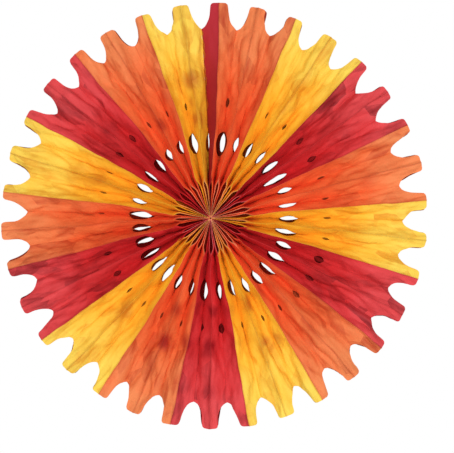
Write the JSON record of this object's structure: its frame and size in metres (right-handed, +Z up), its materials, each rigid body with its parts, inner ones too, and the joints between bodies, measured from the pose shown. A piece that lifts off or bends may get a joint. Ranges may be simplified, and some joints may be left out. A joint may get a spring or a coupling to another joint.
{
  "type": "paper fan medallion",
  "caption": "Open round honeycomb fan of folded tissue pleats in warm coloured sectors, with a scalloped rim and die-cut openings, hung flat as a party decoration.",
  "frame": {"origin": "centre of the disc, midway between its front and its back ridges", "axes": "the disc stands in the XZ plane as it hangs, +Z up; its front faces -Y; +Y runs through the disc's thickness, its shortest extent"},
  "size_m": [0.6352, 0.0624, 0.6354],
  "materials": {
    "yellow_tissue": "thin dyed tissue paper, matt, lightly creased",
    "orange_tissue": "thin dyed tissue paper, matt, lightly creased",
    "red_tissue": "thin dyed tissue paper, matt, lightly creased",
    "red_card": "smooth dyed card, matt",
    "clear_adhesive": "dried glue film, satin",
    "white_thread": "twisted cotton thread"
  },
  "bodies": {
    "root": {"binding_thread": "white_thread", "end_card_red": "red_card", "end_leaf_yellow": "yellow_tissue", "pleat_01_yellow": "yellow_tissue", "pleat_02_orange": "orange_tissue", "pleat_03_orange": "orange_tissue", "pleat_04_red": "red_tissue", "pleat_05_red": "red_tissue", "pleat_06_yellow": "yellow_tissue", "pleat_07_yellow": "yellow_tissue", "pleat_08_orange": "orange_tissue", "pleat_09_orange": "orange_tissue", "pleat_10_red": "red_tissue", "pleat_11_red": "red_tissue", "pleat_12_yellow": "yellow_tissue", "pleat_13_yellow": "yellow_tissue", "pleat_14_orange": "orange_tissue", "pleat_15_orange": "orange_tissue", "pleat_16_red": "red_tissue", "pleat_17_red": "red_tissue", "pleat_18_yellow": "yellow_tissue", "pleat_19_yellow": "yellow_tissue", "pleat_20_orange": "orange_tissue", "pleat_21_orange": "orange_tissue", "pleat_22_red": "red_tissue", "pleat_23_red": "red_tissue", "pleat_24_yellow": "yellow_tissue", "pleat_25_yellow": "yellow_tissue", "pleat_26_orange": "orange_tissue", "pleat_27_orange": "orange_tissue", "pleat_28_red": "red_tissue", "pleat_29_red": "red_tissue", "pleat_30_yellow": "yellow_tissue", "pleat_31_yellow": "yellow_tissue", "pleat_32_orange": "orange_tissue", "pleat_33_orange": "orange_tissue", "seam_adhesive_strip": "clear_adhesive"}
  },
  "joints": []
}
